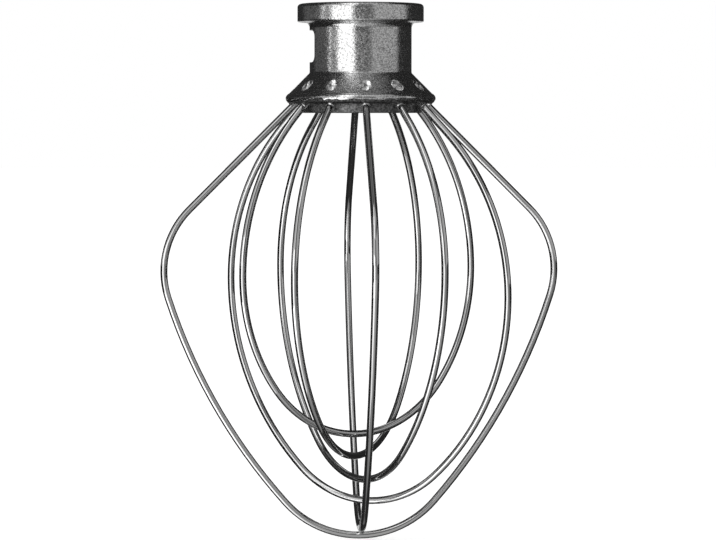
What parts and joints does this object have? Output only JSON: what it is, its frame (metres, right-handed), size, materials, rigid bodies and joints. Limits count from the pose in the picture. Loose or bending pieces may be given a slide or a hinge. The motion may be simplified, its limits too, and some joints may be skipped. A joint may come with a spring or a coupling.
{
  "type": "stand mixer wire whisk",
  "caption": "Balloon wire whisk for a stand mixer: nested wire loops gripped under the staked skirt of a flanged hub, which has a shaft bore and a bayonet slot for the shaft's cross pin.",
  "frame": {"origin": "centre of the shaft bore's mouth, level with the hub's top face", "axes": "+Z along the bore, up into the mixer, so the wires hang below; -Y faces the viewer of the picture, +X is to the viewer's right, and the bayonet slot's window opens towards -X"},
  "size_m": [0.122, 0.1158, 0.1645],
  "materials": {
    "hub_metal": "cast and polished, with a speckled, worn surface",
    "retainer_metal": "as cast, dull and speckled",
    "wire_steel": "drawn stainless wire, bright, with fine lines along it"
  },
  "bodies": {
    "root": {"hub": "hub_metal", "wire_retainer": "retainer_metal", "wire_loop_1": "wire_steel", "wire_loop_2": "wire_steel", "wire_loop_3": "wire_steel", "wire_loop_4": "wire_steel", "wire_loop_5": "wire_steel", "wire_loop_6": "wire_steel"}
  },
  "joints": []
}
